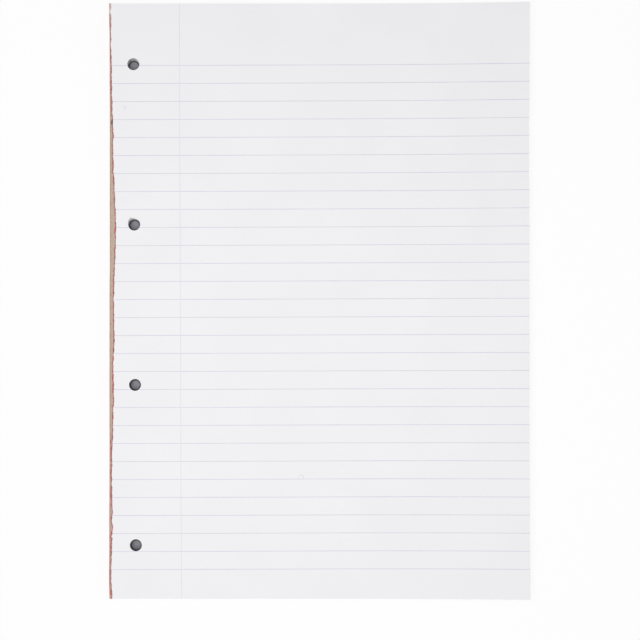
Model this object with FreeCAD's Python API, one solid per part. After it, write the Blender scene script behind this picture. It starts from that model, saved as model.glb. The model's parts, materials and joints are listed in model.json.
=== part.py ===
# A side-bound, four-hole, ruled writing pad, its front cover torn off.
#
# Millimetres. The origin is the middle of the footprint, on the table. X runs
# across the pad from the spine to the free edge, Y runs along it towards the
# head, and Z is up.

import FreeCAD, Part
import math
import os

os.makedirs("parts", exist_ok=True)

# Leaves, bound as one block
sheet_width = 208.6
sheet_length = 297.0
leaf_count = 80
leaf_pitch = 0.085

# The leaves lie flat beside the spine, then air lifts them towards the free edge
flat_width = 115.0
free_edge_rise = 3.0
curl_facets = 4

# Back board, glue and binding paper
board_thickness = 0.8
glue_film = 0.3
wrap_thickness = 0.2
back_flap_width = 12.0

# Punched holes for a ring binder, drilled through the leaves and not the board
hole_count = 4
hole_radius = 3.0
hole_pitch = 80.0
hole_from_leaf_edge = 11.9
hole_row_towards_foot = 1.8
hole_row_skew = 0.29

# Ruling, printed a little askew on the trimmed leaf, and less so than the holes
rule_count = 29
rule_pitch = 8.98
first_rule_from_head = 30.7
rule_width = 0.3
margin_from_leaf_edge = 34.75
margin_width = 0.35
ink_thickness = 0.03
print_skew = 0.19

# Torn inner edge of the binding paper: its width from the spine's outer face,
# read at evenly spaced places from head to foot
tear_widths = [
    0.7, 0.7, 0.8, 0.9, 1.0, 1.1, 1.3, 1.6, 1.8, 1.7, 2.2, 2.6,
    3.1, 3.1, 2.7, 2.2, 2.1, 2.1, 2.3, 2.2, 1.7, 1.8, 2.0, 1.7,
    1.6, 1.2, 1.1, 1.1, 1.4, 1.5, 1.1, 0.8, 0.7, 1.3,
]
tear_teeth_per_place = 3
tear_tooth_depth = 0.1
tear_tooth_turn = 2.4

# Stub of the torn cover, stuck on the binding paper short of its torn edge
stub_thickness = 0.15
stub_rim = 0.5
stub_least_width = 0.3
stub_tear_phase = 1.0

# How far a cutting shape runs past what it cuts
cut_past = 1.0

# Places that follow from the sizes above
total_width = wrap_thickness + glue_film + sheet_width
x_spine = -total_width / 2
x_wrap_inner = x_spine + wrap_thickness
x_leaf = x_wrap_inner + glue_film
x_free = x_leaf + sheet_width
x_middle = (x_leaf + x_free) / 2
x_curl = x_leaf + flat_width
y_head = sheet_length / 2
y_foot = -y_head
z_leaf_bottom = board_thickness
z_leaf_top = board_thickness + leaf_count * leaf_pitch
z_highest = z_leaf_top + free_edge_rise
place_pitch = sheet_length / (len(tear_widths) - 1)


def block(x0, x1, y0, y1, z0, z1):
    """A plain block between two corners."""
    corner = FreeCAD.Vector(x0, y0, z0)
    return Part.makeBox(x1 - x0, y1 - y0, z1 - z0, corner)


def along_pad(outline):
    """A solid with the cross-section outline, from the foot to the head."""
    face = Part.Face(outline)
    return face.extrude(FreeCAD.Vector(0, sheet_length, 0))


def section_wire(points):
    """A closed straight-sided cross-section at the foot, from x and z pairs."""
    corners = [FreeCAD.Vector(x, y_foot, z) for x, z in points]
    return Part.makePolygon(corners + corners[:1])


def plan_solid(points, z0, z1):
    """A solid between two heights with the plan outline of x and y pairs."""
    corners = [FreeCAD.Vector(x, y, z0) for x, y in points]
    face = Part.Face(Part.makePolygon(corners + corners[:1]))
    return face.extrude(FreeCAD.Vector(0, 0, z1 - z0))


def askew(x, y, degrees):
    """A place on the leaf, turned about the leaf's middle."""
    turn = math.radians(degrees)
    dx = x - x_middle
    across = dx * math.cos(turn) - y * math.sin(turn)
    along = dx * math.sin(turn) + y * math.cos(turn)
    return x_middle + across, along


def leaf_surface(lift):
    """The top leaf's line in cross-section, from the spine to the free edge."""
    points = [(x_leaf, z_leaf_top + lift), (x_curl, z_leaf_top + lift)]
    for step in range(1, curl_facets + 1):
        share = step / curl_facets
        x = x_curl + (x_free - x_curl) * share
        z = z_leaf_top + free_edge_rise * share ** 2
        points.append((x, z + lift))
    return points


def hole_centres():
    """The punched holes' centres, from head to foot, turned about the row's middle."""
    turn = math.radians(hole_row_skew)
    centres = []
    for number in range(hole_count):
        along_row = ((hole_count - 1) / 2 - number) * hole_pitch
        x = x_leaf + hole_from_leaf_edge - along_row * math.sin(turn)
        y = along_row * math.cos(turn) - hole_row_towards_foot
        centres.append((x, y))
    return centres


def hole_drills():
    """Cylinders that punch the leaves and their print, down to the board."""
    depth = z_highest + ink_thickness - z_leaf_bottom
    drills = []
    for x, y in hole_centres():
        start = FreeCAD.Vector(x, y, z_leaf_bottom)
        drills.append(Part.makeCylinder(hole_radius, depth, start))
    return drills


def tear_line(inset, phase):
    """The ragged line of a tear, from head to foot, inset from the binding's."""
    points = []
    steps = (len(tear_widths) - 1) * tear_teeth_per_place
    for step in range(steps + 1):
        place = step / tear_teeth_per_place
        before = min(int(place), len(tear_widths) - 2)
        share = place - before
        width = tear_widths[before] * (1 - share) + tear_widths[before + 1] * share
        tooth = tear_tooth_depth * math.sin(tear_tooth_turn * step + phase)
        least = wrap_thickness + stub_least_width
        x = x_spine + max(width + tooth - inset, least)
        points.append((x, y_head - place * place_pitch))
    return points


def make_page_block():
    """All the leaves: flat at the spine, lifting to the free edge, punched."""
    outline = [(x_free, z_leaf_bottom), (x_leaf, z_leaf_bottom)]
    leaves = along_pad(section_wire(outline + leaf_surface(0)))
    return leaves.cut(hole_drills())


def make_back_board():
    """The stiff board, rebated underneath for the binding paper's flap."""
    board = block(x_leaf, x_free, y_foot, y_head, 0, board_thickness)
    rebate_end = x_spine + back_flap_width
    rebate = block(x_leaf, rebate_end, y_foot, y_head, 0, wrap_thickness)
    return board.cut(rebate)


def make_spine_glue():
    """The film of glue that holds the edges of the leaves and the board."""
    return block(x_wrap_inner, x_leaf, y_foot, y_head, wrap_thickness, z_leaf_top)


def fold_corner(z_corner, going_up):
    """The rounded outside of a fold of the paper round a sharp corner."""
    side = 1 if going_up else -1
    bulge = wrap_thickness * math.sqrt(0.5)
    start = FreeCAD.Vector(x_spine, y_foot, z_corner)
    middle = FreeCAD.Vector(x_wrap_inner - bulge, y_foot, z_corner + side * bulge)
    end = FreeCAD.Vector(x_wrap_inner, y_foot, z_corner + side * wrap_thickness)
    return start, middle, end


def make_binding_strip():
    """One folded paper strip: under the board, up the spine, over the leaves."""
    start, middle, end = fold_corner(z_leaf_top, True)
    lower_start, lower_middle, lower_end = fold_corner(wrap_thickness, False)
    x_flap = x_spine + back_flap_width
    x_front = x_spine + max(tear_widths) + 2 * tear_tooth_depth
    z_flap_top = z_leaf_top + wrap_thickness
    corners = [
        lower_end,
        FreeCAD.Vector(x_flap, y_foot, 0),
        FreeCAD.Vector(x_flap, y_foot, wrap_thickness),
        FreeCAD.Vector(x_wrap_inner, y_foot, wrap_thickness),
        FreeCAD.Vector(x_wrap_inner, y_foot, z_leaf_top),
        FreeCAD.Vector(x_front, y_foot, z_leaf_top),
        FreeCAD.Vector(x_front, y_foot, z_flap_top),
        end,
    ]
    edges = [Part.Arc(lower_start, lower_middle, lower_end).toShape()]
    for here, there in zip(corners, corners[1:]):
        edges.append(Part.LineSegment(here, there).toShape())
    edges.append(Part.Arc(end, middle, start).toShape())
    edges.append(Part.LineSegment(start, lower_start).toShape())
    strip = along_pad(Part.Wire(edges))
    x_clear = x_front + cut_past
    torn_away = tear_line(0, 0) + [(x_clear, y_foot), (x_clear, y_head)]
    return strip.cut(plan_solid(torn_away, z_leaf_top, z_flap_top))


def make_cover_stub():
    """What is left of the front cover, torn short of the binding's edge."""
    z_flap_top = z_leaf_top + wrap_thickness
    outline = [(x_wrap_inner, y_foot), (x_wrap_inner, y_head)] + tear_line(stub_rim, stub_tear_phase)
    return plan_solid(outline, z_flap_top, z_flap_top + stub_thickness)


def make_ink_layer(binding_strip):
    """A film of ink all over the top leaf, clear of the holes and the strip."""
    outline = leaf_surface(ink_thickness) + leaf_surface(0)[::-1]
    film = along_pad(section_wire(outline))
    return film.cut(hole_drills() + [binding_strip])


def printed_line(x0, x1, y0, y1):
    """The full-height column over a printed line, turned askew with the print."""
    outline = [(x0, y0), (x1, y0), (x1, y1), (x0, y1)]
    corners = [askew(x, y, print_skew) for x, y in outline]
    return plan_solid(corners, z_leaf_bottom, z_highest + cut_past)


def make_margin_rule(film):
    """The upright margin line."""
    x = x_leaf + margin_from_leaf_edge
    reach = sheet_length
    line = printed_line(x - margin_width / 2, x + margin_width / 2, -reach, reach)
    return film.common(line)


def make_feint_rules(film, margin_rule):
    """The writing lines, from the strip to the free edge, broken by the margin."""
    reach = sheet_width
    pieces = []
    for number in range(rule_count):
        y = y_head - first_rule_from_head - number * rule_pitch
        line = printed_line(-reach, reach, y - rule_width / 2, y + rule_width / 2)
        pieces += film.common(line).cut(margin_rule).Solids
    return Part.makeCompound(pieces)


page_block = make_page_block()
back_board = make_back_board()
spine_glue = make_spine_glue()
binding_strip = make_binding_strip()
cover_stub = make_cover_stub()
ink_layer = make_ink_layer(binding_strip)
margin_rule = make_margin_rule(ink_layer)
feint_rules = make_feint_rules(ink_layer, margin_rule)

page_block.exportStep("parts/page_block.step")
back_board.exportStep("parts/back_board.step")
spine_glue.exportStep("parts/spine_glue.step")
binding_strip.exportStep("parts/binding_strip.step")
cover_stub.exportStep("parts/cover_stub.step")
margin_rule.exportStep("parts/margin_rule.step")
feint_rules.exportStep("parts/feint_rules.step")
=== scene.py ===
"""Looks of a side-bound, four-hole, ruled writing pad, its front cover torn off.

Metres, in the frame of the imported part: X from the spine to the free edge, Y
towards the head, Z up. The solids give the places, and the pieces made here
add the separate leaves, the draped print and the torn paper of the spine.
"""

import json
import math
import random

import bmesh
import bpy
from mathutils import Matrix, Vector, noise


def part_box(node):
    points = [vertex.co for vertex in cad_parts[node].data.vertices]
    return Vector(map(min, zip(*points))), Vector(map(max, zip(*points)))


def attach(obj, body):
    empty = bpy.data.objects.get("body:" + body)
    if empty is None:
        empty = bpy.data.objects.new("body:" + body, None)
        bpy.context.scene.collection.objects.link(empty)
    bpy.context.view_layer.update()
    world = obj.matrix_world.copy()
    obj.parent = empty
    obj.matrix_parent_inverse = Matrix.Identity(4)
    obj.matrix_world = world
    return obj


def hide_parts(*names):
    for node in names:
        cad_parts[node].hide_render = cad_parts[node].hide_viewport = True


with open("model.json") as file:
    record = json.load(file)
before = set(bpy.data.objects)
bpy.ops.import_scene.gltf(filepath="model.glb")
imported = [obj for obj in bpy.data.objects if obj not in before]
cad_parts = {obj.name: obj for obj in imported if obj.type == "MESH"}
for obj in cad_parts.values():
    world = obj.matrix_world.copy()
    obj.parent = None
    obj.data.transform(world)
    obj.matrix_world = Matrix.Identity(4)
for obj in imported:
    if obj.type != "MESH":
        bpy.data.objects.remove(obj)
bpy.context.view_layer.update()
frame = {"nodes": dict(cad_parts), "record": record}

MM = 0.001

# Closer than this, heights, places or points count as one
same_height = 0.01 * MM
same_place = 0.002 * MM
same_point = 0.0001 * MM

# A corner of the print this close to a cut lies on it
print_cut_slack = 0.00001 * MM

# Places read from the solids and from the mounts
block_low, block_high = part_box("page_block")
strip_low, strip_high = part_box("binding_strip")
glue_low, glue_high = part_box("spine_glue")
x_spine = strip_low.x
x_wrap_inner = glue_low.x
x_leaf = block_low.x
x_free = block_high.x
x_flap = strip_high.x
y_foot = block_low.y
y_head = block_high.y
z_leaf_bottom = block_low.z
z_leaf_top = glue_high.z
z_flap_top = strip_high.z
z_stub_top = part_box("cover_stub")[1].z
free_edge_rise = block_high.z - z_leaf_top
wrap_thickness = x_wrap_inner - x_spine
block_points = [v.co for v in frame["nodes"]["page_block"].data.vertices]
x_curl = max(p.x for p in block_points if abs(p.z - z_leaf_top) < same_height)
bores = [m for m in frame["record"]["mounts"] if m["kind"] == "bore"]
holes = [Vector((m["pos_m"][0], m["pos_m"][1], 0)) for m in bores]
hole_radius = bores[0]["dims"]["r_mm"] * MM

# Leaves
leaf_count = 80
leaf_pitch = (z_leaf_top - z_leaf_bottom) / leaf_count
leaf_thickness = 0.078 * MM
leaf_seed = 80
curl_steps = 12
edge_wander = 0.015 * MM
stray_leaf_every = 9
stray_wander = 0.1 * MM
big_gap_every = 11
big_gap_weight = 9.0

# The free edge wavers: place from the head and shift across, in mm
free_edge_bow = ((0, 0.05), (46, -0.14), (62, -0.37), (82, -0.34), (98, -0.16), (217, -0.15),
                 (262, 0.08), (297, 0.34))

# The top leaf lies a little loose on the others, fully so from this reach on
top_float = 0.07 * MM
top_float_length = 70 * MM
top_float_reach = 60 * MM
top_step = 9 * MM

# The hollow drill wanders on its way down: how far across and along, by hole, in mm
drill_leans = ((-0.55, 0.0), (-0.6, 0.0), (-0.65, -0.35), (-0.65, -1.0))
drill_wander = 0.03 * MM

# What is beside a hole, and on its rim: the distance from the rim at most
beside_hole = 2.5 * MM
on_rim = 0.02 * MM
hole_segments = 40

# A painted shadow at the foot of the last hole's wall: its place from the hole, and its inner
# and outer radius, in mm
foot_shadow_place = (-0.3, -3.9)
foot_shadow_reach = (0.6, 1.5)

# The groove that the drill's rim cut in the board
drill_mark_width = 0.75 * MM
drill_mark_depth = 0.3 * MM

# A chip in the second hole's rim, through the upper leaves
chipped_hole = 1
chip_towards = math.radians(128)
chip_reach = math.radians(48)
chip_depth = 0.55 * MM
chipped_leaves = 30

# Print: how far it stands out of the top leaf, and reaches into it
ink_height = 0.012 * MM

# The binding paper's cross-section, from the edge under the board to the torn
# one: each stretch and the steps that it is cut into
wrap_stretches = (("under", 3), ("lower_fold", 4), ("spine", 4), ("upper_fold", 4), ("over", 8))
fold_radius = 0.3 * MM

# Steps along the pad of the binding paper and the stub
step_along = 0.4 * MM

# How much the spine's face wobbles, and over what lengths along the pad and up it
spine_wobble = 0.05 * MM
spine_wobble_along = 5 * MM
spine_wobble_up = 4 * MM

# A solid's points this close to the binding paper's inner side aren't on its torn edge
outer_edge_width = 0.05 * MM

# Torn edges: two sizes of raggedness, each with its length along the pad, how far
# the face sinks towards the tear, and how far past the fold it reaches at the least
tear_noise = ((0.24 * MM, 2.2 * MM), (0.2 * MM, 0.9 * MM))
tear_feather = 0.1 * MM
tear_past_fold = 0.02 * MM

# Nicks in the torn edge, and tongues below 0: place from the head, half length
# and depth, in mm
nicks = ((4.3, 1.7, 0.45), (21, 9, 0.25), (66, 2.5, -0.3), (72, 3, 0.25), (114, 3, 0.25),
         (131, 4, -0.2), (168, 5, -0.15), (179.5, 1.0, 0.25), (201.7, 0.8, 0.3),
         (222, 3, 0.2), (257.7, 4, 0.3), (265.8, 0.8, 0.6))

# Where the binding paper alone reaches a little further over the leaves, as nicks are given
wider_stretches = ((61, 6, -0.25), (88, 22, -0.2), (128, 22, -0.2), (193, 22, -0.2))

# The spine's face bows a little: place from the head and shift across, in mm
spine_bow = ((0, -0.34), (7, -0.32), (15, -0.05), (36, -0.02), (54, 0.08), (130, 0.06),
             (145, -0.08), (200, -0.1), (225, -0.1), (245, -0.11), (258, -0.24), (270, -0.18),
             (287, -0.33), (297, -0.12))

# The stub of the cover: its steps across, how ragged its outer edge is and over
# what length, its least width, the size of its lumps, its share of the full
# thickness between them, and a rim's share of the width and of the thickness
stub_columns = 9
stub_ragged = 0.08 * MM
stub_ragged_length = 1.3 * MM
stub_least_width = 0.1 * MM
stub_lump_across = 0.5 * MM
stub_lump_along = 0.9 * MM
stub_thin_share = 0.25
stub_rim_share = 0.2
stub_rim_thin_share = 0.3

# The seed of each smooth noise, so that no two are alike
float_seed = 3
stub_outer_seed = 5
stub_lump_seed = 9
tear_seed = 11
stub_tear_seed = 23
spine_seed = 31

# A painted shadow under the lifted tear: its place, its inner and outer radius in mm, and how
# much longer it is along the pad than across
tear_shadow_place = (-103.15, 89.0)
tear_shadow_reach = (0.4, 0.9)
tear_shadow_stretch = 2.2

# Share rubbed pale at the head's end of the spine, by place from the head in mm
pale_places = ((0, 0.3), (2, 0.3), (2.6, 0.85), (5, 0.85), (5.5, 0.12), (14, 0.1), (20, 0))

# Share of the stub worn through to the red, by place from the head in mm
worn_places = ((0, 0.6), (50, 0.4), (62, 0.2), (205, 0.2), (222, 0.6), (245, 0.6),
               (258, 0.25), (270, 0.55), (288, 0.65), (297, 0.3))

# Fresh red along the tear, by place from the head in mm
fresh_places = ((0, 0.1), (100, 0.1), (103, 1), (107, 0.2), (110, 0.2), (113, 1), (117, 0.1),
                (170, 0.2), (185, 0.6), (195, 0.1), (217, 0.1), (221, 1), (226, 0.2),
                (258, 0.2), (263, 1), (270, 0.1), (297, 0.4))

# Marks on the page, a smudge by the first hole and painted shade beside the second hole's
# chipped rim where lower leaves show: place, inner and outer radius in mm, share and colour
smudges_and_chip_shade = (((-97.0, 96.6), (0.2, 1.1), 0.2, (0.45, 0.45, 0.45, 1)),
           ((-94.2, 41.1), (0.3, 1.0), 0.4, (0.40, 0.41, 0.33, 1)))

# A loose fibre on the page, its points in mm
loose_fibre = ((-10.5, -87.7), (-9.8, -86.9), (-8.9, -86.65), (-8.05, -87.05), (-7.8, -88.7))
fibre_thickness = 0.09 * MM

# Camera, straight above; the photograph's middle on the pad, in mm
camera_over = Vector((0.34, -9.44, 0)) * MM
camera_distance = 650 * MM
picture_width = 319.3 * MM
sensor_width = 36.0
nearest_seen = 10 * MM

# One soft lamp, a little to the left and the foot of the pad, and the room's light
lamp_at = Vector((-0.08, -0.06, 0.8))
lamp_size = 0.5
lamp_power = 4.46
room_colour = (0.99, 0.995, 1.0, 1)
room_light = 0.38

# The floor, and the share of plain white in how it is seen
floor_size = 6.0
floor_tone = 0.93
floor_white_share = 0.88


def smooth_noise(x, y, seed):
    """Smooth random field from -1 to 1 over a plane."""
    return noise.noise(Vector((x, y, seed * 7.31)))


def on_pad(place_mm):
    """A place across and along the pad in mm, as a point in metres."""
    return Vector((*place_mm, 0)) * MM


def line_along_pad(places):
    """Pairs of place from the head and shift in mm, as sorted pairs of y and shift."""
    return sorted((y_head - from_head * MM, shift * MM) for from_head, shift in places)


def read_line(line, y, smooth=False):
    """A value at a place along the pad, from a sorted line of y and value pairs."""
    for (y0, a), (y1, b) in zip(line, line[1:]):
        if y <= y1:
            share = max(y - y0, 0.0) / (y1 - y0)
            if smooth:
                share = share * share * (3 - 2 * share)
            return a + (b - a) * share
    return line[-1][1]


def evenly(low, high, count):
    """Inner places that cut a stretch into equal parts."""
    return [low + (high - low) * n / count for n in range(1, count)]


def new_verts(result):
    """The corners that an extrusion made."""
    return [v for v in result["geom"] if isinstance(v, bmesh.types.BMVert)]


def new_object(name, bm, *materials):
    """Turns a finished bmesh into an object of the scene."""
    mesh = bpy.data.meshes.new(name)
    bm.to_mesh(mesh)
    bm.free()
    for material in materials:
        mesh.materials.append(material)
    made = bpy.data.objects.new(name, mesh)
    bpy.context.scene.collection.objects.link(made)
    return made


def new_piece(name, bm, materials, slot, *replaced):
    """Turns a finished bmesh into a piece that rides on the pad."""
    bmesh.ops.recalc_face_normals(bm, faces=bm.faces)
    piece = new_object(name, bm, *materials)
    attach(piece, "root")
    if replaced:
        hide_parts(*replaced)


# Materials


def start_material(name):
    """A new material with its node tree and its principled shader."""
    material = bpy.data.materials.new(name)
    material.use_nodes = True
    tree = material.node_tree
    return material, tree, tree.nodes["Principled BSDF"]


def dress(tree, shader, colour, roughness, specular=0.5):
    """Gives a shader its colour and its gloss."""
    tree.links.new(colour, shader.inputs["Base Color"])
    shader.inputs["Roughness"].default_value = roughness
    shader.inputs["Specular IOR Level"].default_value = specular


def add_node(tree, kind, inputs=(), **settings):
    """Adds a node; inputs are pairs of a socket's name or number and a value or socket."""
    made = tree.nodes.new(kind)
    for name, value in settings.items():
        setattr(made, name, value)
    for socket, value in inputs:
        if isinstance(value, bpy.types.NodeSocket):
            tree.links.new(value, made.inputs[socket])
        else:
            made.inputs[socket].default_value = value
    return made


def place(tree, scale=(1, 1, 1), shift=(0, 0, 0), turn=(0, 0, 0)):
    """Object coordinates, shifted, turned and scaled."""
    coords = add_node(tree, "ShaderNodeTexCoord")
    inputs = [("Vector", coords.outputs["Object"]), ("Location", shift),
              ("Rotation", turn), ("Scale", scale)]
    return add_node(tree, "ShaderNodeMapping", inputs).outputs["Vector"]


def speckle(tree, grain, detail=3.0, rough=0.6, stretch=(1, 1, 1), turn=(0, 0, 0)):
    """Noise with grains of the given size in metres, stretched by axis."""
    scale = tuple(1.0 / (grain * s) for s in stretch)
    inputs = [("Vector", place(tree, scale, turn=turn)), ("Scale", 1.0), ("Detail", detail),
              ("Roughness", rough)]
    return add_node(tree, "ShaderNodeTexNoise", inputs).outputs["Fac"]


def stretch_range(tree, value, low, high, to_low=0.0, to_high=1.0):
    """Maps a value from low..high to to_low..to_high, held at the ends."""
    inputs = [("Value", value), ("From Min", low), ("From Max", high),
              ("To Min", to_low), ("To Max", to_high)]
    return add_node(tree, "ShaderNodeMapRange", inputs).outputs["Result"]


def calculate(tree, operation, a, b=0.0):
    """One step of arithmetic."""
    made = add_node(tree, "ShaderNodeMath", [(0, a), (1, b)], operation=operation)
    return made.outputs["Value"]


def blend_colours(tree, share, a, b):
    """Colour a where share is 0 and b where it is 1."""
    inputs = [(0, share), (6, a), (7, b)]
    return add_node(tree, "ShaderNodeMix", inputs, data_type="RGBA").outputs[2]


def mottle(tree, field, low, high, a, b):
    """Colour a where a field is low and b where it is high."""
    return blend_colours(tree, stretch_range(tree, field, low, high), a, b)


def mix_values(tree, share, a, b):
    """The given share of value a and the rest of value b."""
    return calculate(tree, "ADD", calculate(tree, "MULTIPLY", a, share),
                     calculate(tree, "MULTIPLY", b, 1 - share))


def bump(tree, shader, height, strength, depth):
    """A fine relief from a height field."""
    inputs = [("Height", height), ("Strength", strength), ("Distance", depth)]
    relief = add_node(tree, "ShaderNodeBump", inputs)
    tree.links.new(relief.outputs["Normal"], shader.inputs["Normal"])


def towards(tree, axis, start, end):
    """A value that goes from 0 at start to 1 at end along an axis of the pad."""
    coords = add_node(tree, "ShaderNodeTexCoord")
    split = add_node(tree, "ShaderNodeSeparateXYZ", [(0, coords.outputs["Object"])])
    return stretch_range(tree, split.outputs[axis], start, end)


def along_pad(tree, places):
    """A value read along the pad from pairs of place from the head and value."""
    ramp = add_node(tree, "ShaderNodeValToRGB", [("Fac", towards(tree, "Y", y_head, y_foot))])
    length = (y_head - y_foot) / MM
    stops = ramp.color_ramp.elements
    while len(stops) < len(places):
        stops.new(0.5)
    for stop, (place_mm, value) in zip(stops, places):
        stop.position = place_mm / length
        stop.color = (value, value, value, 1)
    return ramp.outputs["Color"]


def stain(tree, at, reach, share, stretch=1.0):
    """The given share within a mark on the pad, stretched along it, and 0 outside."""
    from_mark = place(tree, shift=tuple(-at))
    flat = add_node(tree, "ShaderNodeVectorMath", [(0, from_mark), (1, (1, 1 / stretch, 0))],
                    operation="MULTIPLY").outputs["Vector"]
    distance = add_node(tree, "ShaderNodeVectorMath", [(0, flat)],
                        operation="LENGTH").outputs["Value"]
    near, far = reach
    return stretch_range(tree, distance, near * MM, far * MM, share, 0.0)


def grey(value, tint=(0, 0, 0)):
    """A linear colour near a grey."""
    return (value + tint[0], value + tint[1], value + tint[2], 1.0)


def paper_colour(tree, dark, light):
    """Soft clouds and fine fibre mottling of uncoated paper."""
    clouds = speckle(tree, 30 * MM, 2.0, 0.5)
    fibres = speckle(tree, 0.45 * MM, 4.0, 0.75)
    return mottle(tree, mix_values(tree, 0.5, clouds, fibres), 0.3, 0.7, dark, light)


def white_paper():
    """The top leaf: white, uncoated, with a faint smudge by the first hole and painted shade
    beside the chipped rim of the second.
    """
    material, tree, shader = start_material("white_paper")
    colour = paper_colour(tree, grey(0.855, (0, -0.002, 0.017)), grey(0.895, (0, -0.004, 0.013)))
    for at, reach, share, tone in smudges_and_chip_shade:
        # The second mark is painted shade beside the chipped rim of the second hole
        colour = blend_colours(tree, stain(tree, on_pad(at), reach, share), colour, tone)
    dress(tree, shader, colour, roughness=0.9, specular=0.25)
    bump(tree, shader, speckle(tree, 0.3 * MM, 3.0, 0.7), 0.12, 0.02 * MM)
    return material


def leaf_edges():
    """The leaves under the top one: paper, in bands that vary leaf by leaf, partly the cut
    edges' own tone and partly painted shade of the gaps between them.
    """
    material, tree, shader = start_material("leaf_edges")
    colour = paper_colour(tree, grey(0.83, (0.004, 0, -0.004)), grey(0.89, (0, 0, 0.004)))
    layers = speckle(tree, 0.16 * MM, 1.0, 0.5, (400, 400, 1))
    # Partly painted shade: random bands up the edges are made darker, as the gaps between leaves
    # shade them
    band_shade = stretch_range(tree, layers, 0.35, 0.6, 0.3, 0.0)
    colour = blend_colours(tree, band_shade, colour, grey(0.66, (0.01, 0, -0.02)))
    dress(tree, shader, colour, roughness=0.92, specular=0.2)
    bump(tree, shader, layers, 0.3, 0.03 * MM)
    return material


def drilled_paper():
    """The walls of the holes: paper edges painted grey as shade in the narrow holes, more so
    towards the foot, with a painted shadow at the foot of the last hole's wall.
    """
    material, tree, shader = start_material("drilled_paper")
    layers = speckle(tree, 0.2 * MM, 2.0, 0.6, (30, 30, 1))
    # Painted shade: the walls' paper edges get a mid grey instead of paper white
    colour = blend_colours(tree, layers, grey(0.30, (0.004, 0, 0.006)), grey(0.44))
    # Painted shade: the walls grow dark towards the bottom of the hole
    depth_shade = calculate(tree, "MULTIPLY", towards(tree, "Z", z_leaf_top, z_leaf_bottom), 0.6)
    colour = blend_colours(tree, depth_shade, colour, grey(0.10))
    # Painted shade: a band still darker near the foot of the walls
    foot = towards(tree, "Z", z_leaf_bottom + 1.2 * MM, z_leaf_bottom + 0.4 * MM)
    colour = blend_colours(tree, foot, colour, grey(0.17))
    # Painted shadow at the foot of the last hole's wall
    wall_foot_shadow = stain(tree, holes[-1] + on_pad(foot_shadow_place), foot_shadow_reach, 0.85)
    colour = blend_colours(tree, wall_foot_shadow, colour, grey(0.02))
    dress(tree, shader, colour, roughness=0.85, specular=0.2)
    bump(tree, shader, layers, 0.5, 0.05 * MM)
    return material


def grey_board():
    """Recycled board: grey felted fibre with dark and pale flecks."""
    material, tree, shader = start_material("grey_board")
    felt = speckle(tree, 1.1 * MM, 5.0, 0.7)
    colour = mottle(tree, felt, 0.3, 0.7, grey(0.28, (0, -0.012, 0.026)),
                    grey(0.39, (0.003, -0.012, 0.031)))
    flecks = ((0.7, 0.66, grey(0.13, (0.01, 0, 0.02))), (1.7, 0.7, grey(0.6, (0, 0, 0.01))))
    for turn, limit, fleck in flecks:
        strands = speckle(tree, 0.5 * MM, 2.0, 0.5, (1, 4, 1), (0, 0, turn))
        share = stretch_range(tree, strands, limit, limit + 0.06, 0.0, 0.7)
        colour = blend_colours(tree, share, colour, fleck)
    dress(tree, shader, colour, roughness=0.9, specular=0.2)
    bump(tree, shader, felt, 0.35, 0.05 * MM)
    return material


def drilled_board():
    """The drill's groove in the board, painted dark as shade at the foot of the hole's wall."""
    material, tree, shader = start_material("drilled_board")
    groove_mottle = speckle(tree, 0.4 * MM, 3.0, 0.7)
    # Painted shade: the groove is coloured near black to dark grey
    colour = blend_colours(tree, groove_mottle, grey(0.08), grey(0.20, (0.004, -0.008, 0.014)))
    dress(tree, shader, colour, roughness=0.95, specular=0.1)
    bump(tree, shader, groove_mottle, 0.4, 0.05 * MM)
    return material


def marked_torn(tree, colour):
    """The marks on both torn layers: painted shadow under the lifted tear, and paper rubbed pale
    at the head.
    """
    upper = towards(tree, "Z", z_flap_top - 0.6 * MM, z_flap_top - 0.3 * MM)
    # Painted shadow under the lifted edge of the tear
    tear_shadow = calculate(tree, "MULTIPLY", upper,
                    stain(tree, on_pad(tear_shadow_place), tear_shadow_reach, 0.9, tear_shadow_stretch))
    colour = blend_colours(tree, tear_shadow, colour, (0.06, 0.02, 0.02, 1))
    pale = calculate(tree, "MULTIPLY", along_pad(tree, pale_places), upper)
    return blend_colours(tree, pale, colour, (0.78, 0.66, 0.65, 1))


def red_paper():
    """The binding paper: red, and peeled to pale pink fibre along its torn edge."""
    material, tree, shader = start_material("red_paper")
    tone = speckle(tree, 6 * MM, 4.0, 0.65, (1, 3, 1))
    colour = mottle(tree, tone, 0.3, 0.7, (0.36, 0.012, 0.022, 1), (0.52, 0.03, 0.045, 1))
    rubbed = stretch_range(tree, speckle(tree, 0.35 * MM, 4.0, 0.8), 0.55, 0.75, 0.0, 0.4)
    colour = blend_colours(tree, rubbed, colour, (0.66, 0.42, 0.40, 1))
    fibres = speckle(tree, 0.7 * MM, 4.0, 0.75, (1, 1.6, 1))
    peeled = mottle(tree, fibres, 0.43, 0.57, (0.29, 0.06, 0.065, 1), (0.54, 0.28, 0.25, 1))
    fresh = mottle(tree, fibres, 0.43, 0.57, (0.36, 0.02, 0.04, 1), (0.62, 0.13, 0.15, 1))
    torn = blend_colours(tree, along_pad(tree, fresh_places), peeled, fresh)
    upper = towards(tree, "Z", z_flap_top - 0.15 * MM, z_flap_top - 0.11 * MM)
    inward = towards(tree, "X", x_spine + 0.1 * MM, x_spine + 0.5 * MM)
    colour = blend_colours(tree, calculate(tree, "MULTIPLY", upper, inward), colour, torn)
    dress(tree, shader, marked_torn(tree, colour), roughness=0.7, specular=0.3)
    bump(tree, shader, speckle(tree, 0.25 * MM, 3.0, 0.6), 0.25, 0.03 * MM)
    return material


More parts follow.
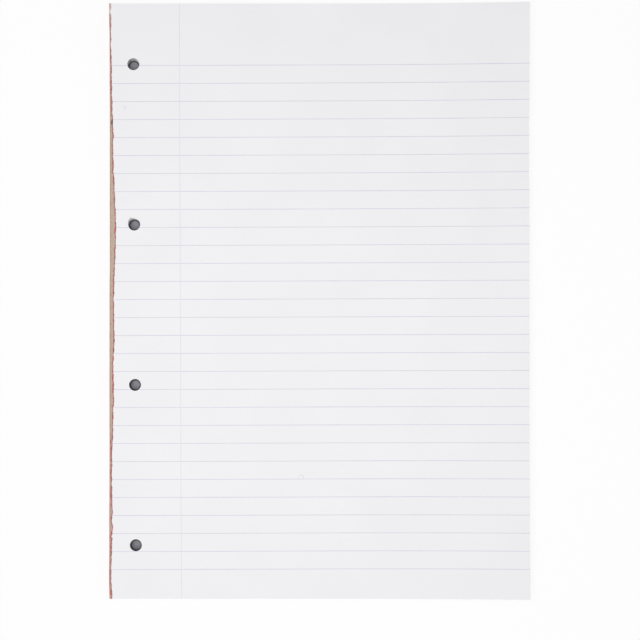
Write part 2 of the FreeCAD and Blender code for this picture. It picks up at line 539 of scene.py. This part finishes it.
def torn_fibre():
    """The torn stub: beige fibre, worn through to the red in places."""
    material, tree, shader = start_material("torn_fibre")
    felt = speckle(tree, 0.6 * MM, 5.0, 0.75, (1, 2, 1))
    colour = mottle(tree, felt, 0.3, 0.7, (0.42, 0.32, 0.245, 1), (0.62, 0.52, 0.42, 1))
    outer = calculate(tree, "MULTIPLY", 0.3,
                      towards(tree, "X", x_spine + 0.8 * MM, x_spine + 0.3 * MM))
    colour = blend_colours(tree, outer, colour, (0.46, 0.24, 0.20, 1))
    traces = speckle(tree, 1.2 * MM, 4.0, 0.7, (1, 2.5, 1), (0, 0, 0.3))
    worn = along_pad(tree, worn_places)
    limit = calculate(tree, "SUBTRACT", 0.72, calculate(tree, "MULTIPLY", worn, 0.45))
    shown = stretch_range(tree, traces, limit, calculate(tree, "ADD", limit, 0.14), 0.0, 0.75)
    colour = blend_colours(tree, shown, colour, (0.38, 0.13, 0.115, 1))
    dress(tree, shader, marked_torn(tree, colour), roughness=0.95, specular=0.1)
    bump(tree, shader, felt, 0.6, 0.08 * MM)
    return material


def fibre_dust():
    """A single pale grey fibre."""
    material, tree, shader = start_material("fibre_dust")
    tone = speckle(tree, 0.8 * MM, 2.0, 0.5)
    colour = blend_colours(tree, tone, grey(0.38), grey(0.55, (0.01, 0, -0.01)))
    dress(tree, shader, colour, roughness=0.9)
    return material


def padding_glue():
    """The dried film along the spine, pale and slightly glossy."""
    material, tree, shader = start_material("padding_glue")
    runs = speckle(tree, 2.5 * MM, 3.0, 0.5)
    colour = blend_colours(tree, runs, (0.66, 0.63, 0.55, 1), (0.84, 0.82, 0.76, 1))
    dress(tree, shader, colour, roughness=0.45)
    bump(tree, shader, runs, 0.3, 0.05 * MM)
    return material


def printed_ink(name, pale, strong):
    """A printed line, a little stronger in some stretches than in others."""
    material, tree, shader = start_material(name)
    stretches = speckle(tree, 16 * MM, 3.0, 0.6)
    grain = speckle(tree, 0.35 * MM, 2.0, 0.6)
    colour = mottle(tree, mix_values(tree, 0.6, stretches, grain), 0.35, 0.65, pale, strong)
    dress(tree, shader, colour, roughness=0.85, specular=0.2)
    return material


def feint_ink():
    """The writing lines' ink, violet grey."""
    return printed_ink("feint_ink", grey(0.73, (0, -0.02, 0.08)), grey(0.62, (0, -0.024, 0.1)))


def margin_ink():
    """The margin line's ink, paler than the writing lines'."""
    return printed_ink("margin_ink", grey(0.8, (0, -0.02, 0.06)), grey(0.74, (0, -0.03, 0.08)))


# Leaves


free_edge = line_along_pad(free_edge_bow)
free_edge_rows = [y for y, shift in free_edge[1:-1]]


def edge_shift(point):
    """How far the wavering free edge draws a place on a leaf across the pad."""
    return read_line(free_edge, point.y) * (point.x - x_leaf) / (x_free - x_leaf)


def lift(x):
    """How far the top leaf rises above its height at the spine."""
    share = min(max((x - x_curl) / (x_free - x_curl), 0.0), 1.0)
    return free_edge_rise * share ** 2


def top_surface(x, y):
    """The height of the top leaf's written face."""
    loose = min(max((x - x_leaf) / top_float_reach, 0.0), 1.0)
    swell = 0.5 + 0.5 * smooth_noise(x / top_float_length, y / top_float_length, float_seed)
    return z_leaf_top + lift(x) + top_float * loose * max(swell, 0.0)


def hole_by(point, reach):
    """The number of the hole whose rim a point is within reach of, or None."""
    for number, hole in enumerate(holes):
        if abs(math.hypot(point.x - hole.x, point.y - hole.y) - hole_radius) < reach:
            return number
    return None


def shared_edge(a, b):
    """The edge between two corners."""
    return next(edge for edge in a.link_edges if edge.other_vert(a) is b)


def cut_net(bm, step_x, step_y, slack=same_point):
    """Cuts faces at places across and along the pad, so that they can be bent."""
    cuts = [((x, 0, 0), (1, 0, 0)) for x in step_x] + [((0, y, 0), (0, 1, 0)) for y in step_y]
    for point, normal in cuts:
        geometry = bm.verts[:] + bm.edges[:] + bm.faces[:]
        bmesh.ops.bisect_plane(bm, geom=geometry, dist=slack, plane_co=point, plane_no=normal)


def curl_places(count):
    """Cuts across the leaf: where it starts to lift, then evenly to the free edge."""
    return [x_curl] + evenly(x_curl, x_free, count)


def top_net():
    """Cuts across and along the top leaf, close enough for it to lie unevenly."""
    across = evenly(x_leaf, x_curl, round((x_curl - x_leaf) / top_step))
    curl = curl_places(round(2 * (x_free - x_curl) / top_step))
    rows = evenly(y_foot, y_head, round((y_head - y_foot) / top_step))
    return across + curl, rows + free_edge_rows


def punched_sheet(bm, step_x, step_y):
    """A flat punched leaf at height 0, cut into a net and closed underneath."""
    x_clear = max(hole.x for hole in holes) + 2 * hole_radius
    corners = [bm.verts.new((x, y, 0)) for x, y in
               ((x_leaf, y_foot), (x_clear, y_foot), (x_clear, y_head), (x_leaf, y_head))]
    for number in range(4):
        bm.edges.new((corners[number - 1], corners[number]))
    for hole in holes:
        bmesh.ops.create_circle(bm, cap_ends=False, radius=hole_radius, segments=hole_segments,
                                matrix=Matrix.Translation(hole))
    bmesh.ops.triangle_fill(bm, use_beauty=True, edges=bm.edges, normal=(0, 0, 1))
    rest = bmesh.ops.extrude_edge_only(bm, edges=[shared_edge(corners[1], corners[2])])
    bmesh.ops.translate(bm, verts=new_verts(rest), vec=(x_free - x_clear, 0, 0))
    cut_net(bm, step_x, step_y)
    bmesh.ops.remove_doubles(bm, verts=bm.verts, dist=same_place)
    lower = bmesh.ops.extrude_face_region(bm, geom=bm.faces[:])
    bmesh.ops.translate(bm, verts=new_verts(lower), vec=(0, 0, -leaf_thickness))


def mark_drilled(bm):
    """Gives the hole walls the second material."""
    bm.normal_update()
    rims = {v for v in bm.verts if hole_by(v.co, on_rim) is not None}
    for face in bm.faces:
        if abs(face.normal.z) < 0.5 and all(v in rims for v in face.verts):
            face.material_index = 1


def drill_shift(point, number, depth):
    """How a leaf's paper moves beside a hole, at a share of the depth, 0 at the top."""
    out = Vector((point.x, point.y, 0)) - holes[number]
    hold = min(max(1 - (out.length - hole_radius) / beside_hole, 0.0), 1.0)
    shift = on_pad(drill_leans[number]) * depth
    turn = math.atan2(out.y, out.x) - chip_towards
    turn = abs((turn + math.pi) % (2 * math.pi) - math.pi)
    fade = max(1 - depth * leaf_count / chipped_leaves, 0.0)
    if number == chipped_hole and turn < chip_reach:
        shift += out.normalized() * chip_depth * fade * math.cos(turn / chip_reach * math.pi / 2)
    return shift * hold


def air_shares(draw):
    """How much of the air under the top leaf lies under each leaf, from 0 to 1."""
    weights = []
    for number in range(leaf_count):
        big = big_gap_weight if number % big_gap_every == big_gap_every // 2 else 1.0
        weights.append(big * draw.uniform(0.3, 1.0))
    total = sum(weights)
    shares = []
    below = 0.0
    for weight in weights:
        below += weight
        shares.append(below / total)
    return shares


def leaf_pattern():
    """The flat mesh that every leaf but the top one is copied from."""
    bm = bmesh.new()
    punched_sheet(bm, curl_places(curl_steps), free_edge_rows)
    mark_drilled(bm)
    pattern = bpy.data.meshes.new("leaf_pattern")
    bm.to_mesh(pattern)
    bm.free()
    return pattern


def make_leaves(*materials):
    """Every leaf but the top one: separate plates, glued at the spine."""
    draw = random.Random(leaf_seed)
    shares = air_shares(draw)
    pattern = leaf_pattern()
    bm = bmesh.new()
    for number in range(leaf_count - 1):
        first = len(bm.verts)
        bm.from_mesh(pattern)
        bm.verts.ensure_lookup_table()
        stray = number % stray_leaf_every == stray_leaf_every // 2
        wander = stray_wander if stray else edge_wander
        across = -abs(draw.gauss(0, wander))
        along = draw.gauss(0, wander)
        drill = [Vector((draw.uniform(-1, 1), draw.uniform(-1, 1), 0)) * drill_wander
                 for hole in holes]
        top = z_leaf_bottom + (number + 1) * leaf_pitch
        depth = 1 - (number + 1) / leaf_count
        for vert in bm.verts[first:]:
            rim = hole_by(vert.co, on_rim)
            loose = (vert.co.x - x_leaf) / (x_free - x_leaf)
            height = top + shares[number] * lift(vert.co.x)
            bowed = edge_shift(vert.co)
            if rim is not None:
                vert.co += drill_shift(vert.co, rim, depth) + drill[rim]
            vert.co += Vector((across * loose + bowed, along * loose ** 2, height))
    bpy.data.meshes.remove(pattern)
    new_piece("leaves", bm, materials, "white_paper", "page_block")


def make_top_leaf(*materials):
    """The leaf that is written on, finely cut so that it can lie unevenly."""
    bm = bmesh.new()
    punched_sheet(bm, *top_net())
    mark_drilled(bm)
    for vert in bm.verts:
        near = hole_by(vert.co, beside_hole)
        if near is not None:
            vert.co += drill_shift(vert.co, near, 0.0)
        vert.co.z += top_surface(vert.co.x, vert.co.y)
        vert.co.x += edge_shift(vert.co)
    new_piece("top_leaf", bm, materials, "white_paper", "page_block")


# Print


def facet_height(x, profile):
    """The height of the solid's flat facets at a place across the pad."""
    for (x0, z0), (x1, z1) in zip(profile, profile[1:]):
        if x0 <= x <= x1:
            return z0 + (z1 - z0) * (x - x0) / (x1 - x0)
    return profile[0][1] if x < profile[0][0] else profile[-1][1]


def make_print(node, material, slot):
    """The node's printed lines, draped on the top leaf."""
    profile = sorted({(round(p.x, 7), round(p.z, 7)) for p in block_points
                      if p.z > z_leaf_top - same_height and p.y > y_head - same_height})
    bm = bmesh.new()
    bm.from_mesh(frame["nodes"][node].data)
    bmesh.ops.remove_doubles(bm, verts=bm.verts, dist=same_point)
    cut_net(bm, *top_net(), slack=print_cut_slack)
    for vert in bm.verts:
        above = vert.co.z - facet_height(vert.co.x, profile)
        side = 1 if above > same_height else -1
        vert.co.z = top_surface(vert.co.x, vert.co.y) + side * ink_height
        vert.co.x += edge_shift(vert.co)
    bmesh.ops.remove_doubles(bm, verts=bm.verts, dist=same_place)
    new_piece(node + "_print", bm, [material], slot, node)


# Spine


spine_line = line_along_pad(spine_bow)


def torn_line(node, z_face):
    """The ragged inner edge of a node's upper face, as sorted pairs of y and x."""
    x_least = x_wrap_inner + outer_edge_width
    points = {}
    for vert in frame["nodes"][node].data.vertices:
        if abs(vert.co.z - z_face) < same_height and vert.co.x > x_least:
            y = round(vert.co.y, 6)
            points[y] = max(vert.co.x, points.get(y, x_least))
    return sorted(points.items())


def roughened(line, y, seed, marks):
    """A torn line with the fine raggedness of torn paper, and its nicks."""
    x = read_line(line, y)
    for number, (depth, length) in enumerate(tear_noise):
        x += depth * smooth_noise(y / length, 0.5, seed + number)
    from_head = (y_head - y) / MM
    for nick, reach, depth in marks:
        x -= depth * MM * max(0.0, 1 - abs(from_head - nick) / reach)
    return max(x, x_spine + fold_radius + tear_past_fold)


def wrap_point(stretch, share, x_torn):
    """A point on the outer face of the binding paper."""
    r = fold_radius
    turn = share * math.pi / 2
    if stretch == "under":
        return x_flap + (x_spine + r - x_flap) * share, 0.0
    if stretch == "lower_fold":
        return x_spine + r - r * math.sin(turn), r - r * math.cos(turn)
    if stretch == "spine":
        return x_spine, r + (z_flap_top - 2 * r) * share
    if stretch == "upper_fold":
        return x_spine + r - r * math.cos(turn), z_flap_top - r + r * math.sin(turn)
    x = x_spine + r + (x_torn - x_spine - r) * share
    return x, z_flap_top - tear_feather * share ** 3


def long_grid(across):
    """A grid with the given steps across and fine ones along the pad, 1 wide and long."""
    along = round((y_head - y_foot) / step_along)
    bm = bmesh.new()
    bmesh.ops.create_grid(bm, x_segments=across, y_segments=along, size=0.5)
    return bm


def grid_share(vert):
    """How far across a long grid a corner is, from 0 to 1, and its y on the pad."""
    return vert.co.x + 0.5, y_foot + (vert.co.y + 0.5) * (y_head - y_foot)


def make_binding_paper(material):
    """The folded red strip, with a fine torn edge over the leaves."""
    line = torn_line("binding_strip", z_flap_top)
    columns = []
    for stretch, steps in wrap_stretches:
        first = 0 if not columns else 1
        columns += [(stretch, n / steps) for n in range(first, steps + 1)]
    bm = long_grid(len(columns) - 1)
    for vert in bm.verts:
        across, y = grid_share(vert)
        stretch, share = columns[round(across * (len(columns) - 1))]
        x_torn = roughened(line, y, tear_seed, nicks + wider_stretches)
        x, z = wrap_point(stretch, share, x_torn)
        hold = {"under": share, "over": 1.0 - share}.get(stretch, 1.0)
        wobble = smooth_noise(y / spine_wobble_along, z / spine_wobble_up, spine_seed)
        bow = read_line(spine_line, y, smooth=True)
        vert.co = (x + (bow + spine_wobble * wobble) * hold, y, z)
    bm.normal_update()
    bmesh.ops.solidify(bm, geom=bm.faces[:], thickness=wrap_thickness)
    for vert in bm.verts:
        if vert.co.x > x_leaf and vert.co.z > z_leaf_top - wrap_thickness:
            vert.co.z = max(vert.co.z, z_leaf_top)
    new_piece("binding_paper", bm, [material], "red_paper", "binding_strip")


def make_torn_stub(material):
    """The torn fibre on the strip, thin and uneven."""
    line = torn_line("cover_stub", z_stub_top)
    bm = long_grid(stub_columns)
    for vert in bm.verts:
        share, y = grid_share(vert)
        ragged = stub_ragged * smooth_noise(y / stub_ragged_length, 0.2, stub_outer_seed)
        x_outer = x_wrap_inner + read_line(spine_line, y, smooth=True) + ragged
        x_inner = max(roughened(line, y, stub_tear_seed, nicks), x_outer + stub_least_width)
        x = x_outer + (x_inner - x_outer) * share
        lumps = 0.5 + 0.5 * smooth_noise(x / stub_lump_across, y / stub_lump_along,
                                         stub_lump_seed)
        rim = min(share, 1 - share, stub_rim_share) / stub_rim_share
        thickness = (z_stub_top - z_flap_top) * (stub_thin_share + (1 - stub_thin_share) * lumps)
        thickness *= stub_rim_thin_share + (1 - stub_rim_thin_share) * rim
        vert.co = (x, y, z_flap_top + thickness)
    lower = bmesh.ops.extrude_face_region(bm, geom=bm.faces[:])
    for vert in new_verts(lower):
        vert.co.z = z_flap_top - tear_feather
    new_piece("torn_stub", bm, [material], "torn_fibre", "cover_stub")


def make_loose_fibre(material):
    """One curled fibre of the torn cover that lies on the page."""
    curve = bpy.data.curves.new("fibre_line", "CURVE")
    curve.dimensions = "3D"
    curve.bevel_depth = fibre_thickness / 2
    curve.bevel_resolution = 1
    curve.resolution_u = 6
    curve.use_fill_caps = True
    spline = curve.splines.new("NURBS")
    spline.points.add(len(loose_fibre) - 1)
    for point, at in zip(spline.points, loose_fibre):
        x, y = on_pad(at).xy
        point.co = (x, y, top_surface(x, y) + fibre_thickness / 2, 1)
    spline.order_u = 3
    spline.use_endpoint_u = True
    tube = bpy.data.meshes.new_from_object(bpy.data.objects.new("fibre_line", curve))
    bm = bmesh.new()
    bm.from_mesh(tube)
    bmesh.ops.remove_doubles(bm, verts=bm.verts, dist=same_place)
    bpy.data.meshes.remove(tube)
    bpy.data.curves.remove(curve)
    new_piece("loose_fibre", bm, [material], "torn_fibre")


def finish_glue(material):
    """The glue keeps its solid and takes a finish."""
    glue = frame["nodes"]["spine_glue"]
    glue.data.materials.clear()
    glue.data.materials.append(material)


# Back board


def make_board(*materials):
    """The back board, with the ring that the hollow drill cut under each hole."""
    bm = bmesh.new()
    bm.from_mesh(frame["nodes"]["back_board"].data)
    bmesh.ops.remove_doubles(bm, verts=bm.verts, dist=same_point)
    bmesh.ops.dissolve_limit(bm, angle_limit=math.radians(1), verts=bm.verts, edges=bm.edges)
    upper = [f for f in bm.faces
             if f.normal.z > 0.5 and f.calc_center_median().z > z_leaf_bottom / 2]
    bmesh.ops.delete(bm, geom=upper, context="FACES_ONLY")
    rings = []
    for hole, lean in zip(holes, drill_leans):
        at = hole + on_pad(lean) + Vector((0, 0, z_leaf_bottom))
        cut = bmesh.ops.create_circle(bm, cap_ends=True, radius=hole_radius,
                                      segments=hole_segments, matrix=Matrix.Translation(at))
        disc = cut["verts"][0].link_faces[0]
        rings += bmesh.ops.inset_region(bm, faces=[disc], thickness=drill_mark_width,
                                        use_boundary=True)["faces"]
    border = [e for e in bm.edges if e.is_boundary]
    bmesh.ops.triangle_fill(bm, use_beauty=True, edges=border, normal=(0, 0, 1))
    sunk = bmesh.ops.extrude_face_region(bm, geom=rings)
    bmesh.ops.delete(bm, geom=[f for f in rings if f.is_valid], context="FACES")
    bmesh.ops.translate(bm, verts=new_verts(sunk), vec=(0, 0, -drill_mark_depth))
    for face in bm.faces:
        centre = face.calc_center_median()
        depth = z_leaf_bottom - centre.z
        grooved = same_place < depth < drill_mark_depth + same_height
        if grooved and hole_by(centre, beside_hole) is not None:
            face.material_index = 1
    new_piece("board", bm, materials, "grey_board", "back_board")


# Surroundings


def bare_tree(owner):
    """The node tree of a material or world, with every node taken out."""
    owner.use_nodes = True
    owner.node_tree.nodes.clear()
    return owner.node_tree


def seen_directly(tree, *rays):
    """1 where one of the given kinds of ray looks, and 0 where light does."""
    path = add_node(tree, "ShaderNodeLightPath")
    seen = path.outputs[rays[0]]
    for ray in rays[1:]:
        seen = calculate(tree, "MAXIMUM", seen, path.outputs[ray])
    return seen


def make_floor():
    """A plain pale floor that keeps a soft shadow."""
    material = bpy.data.materials.new("pale_floor")
    tree = bare_tree(material)
    diffuse = add_node(tree, "ShaderNodeBsdfDiffuse", [("Color", grey(floor_tone))])
    glow = add_node(tree, "ShaderNodeEmission", [("Color", grey(1.0)), ("Strength", 1.0)])
    seen = seen_directly(tree, "Is Camera Ray", "Is Glossy Ray")
    share = calculate(tree, "MULTIPLY", seen, floor_white_share)
    mixed = add_node(tree, "ShaderNodeMixShader", [(0, share), (1, diffuse.outputs[0]),
                                                   (2, glow.outputs[0])])
    output = add_node(tree, "ShaderNodeOutputMaterial")
    tree.links.new(mixed.outputs[0], output.inputs["Surface"])
    bm = bmesh.new()
    bmesh.ops.create_grid(bm, x_segments=1, y_segments=1, size=floor_size)
    floor = new_object("floor", bm, material)


def make_world():
    """Even white surroundings, seen as plain white."""
    world = bpy.data.worlds.new("studio")
    bpy.context.scene.world = world
    tree = bare_tree(world)
    seen = seen_directly(tree, "Is Camera Ray", "Is Glossy Ray", "Is Transmission Ray")
    strength = stretch_range(tree, seen, 0.0, 1.0, room_light, 1.0)
    backdrop = add_node(tree, "ShaderNodeBackground", [("Color", room_colour),
                                                       ("Strength", strength)])
    output = add_node(tree, "ShaderNodeOutputWorld")
    tree.links.new(backdrop.outputs[0], output.inputs["Surface"])


def make_lamp():
    """A square soft lamp that looks at the pad."""
    data = bpy.data.lights.new("key_lamp", "AREA")
    data.shape = "SQUARE"
    data.size = lamp_size
    data.energy = lamp_power
    lamp = bpy.data.objects.new("key_lamp", data)
    lamp.location = lamp_at
    lamp.rotation_mode = "QUATERNION"
    lamp.rotation_quaternion = (-lamp_at).to_track_quat("-Z", "Y")
    bpy.context.scene.collection.objects.link(lamp)


def make_camera():
    """Straight down, as the photograph looks."""
    data = bpy.data.cameras.new("camera")
    data.sensor_width = sensor_width
    data.lens = sensor_width * camera_distance / picture_width
    data.clip_start = nearest_seen
    camera = bpy.data.objects.new("camera", data)
    camera.location = camera_over + Vector((0, 0, z_leaf_top + camera_distance))
    bpy.context.scene.collection.objects.link(camera)
    bpy.context.scene.camera = camera


drilled = drilled_paper()
make_leaves(leaf_edges(), drilled)
make_top_leaf(white_paper(), drilled)
make_print("feint_rules", feint_ink(), "feint_ink")
make_print("margin_rule", margin_ink(), "margin_ink")
make_binding_paper(red_paper())
make_torn_stub(torn_fibre())
make_loose_fibre(fibre_dust())
make_board(grey_board(), drilled_board())
finish_glue(padding_glue())

make_floor()
make_world()
make_lamp()
make_camera()
bpy.context.scene.view_settings.view_transform = "Standard"
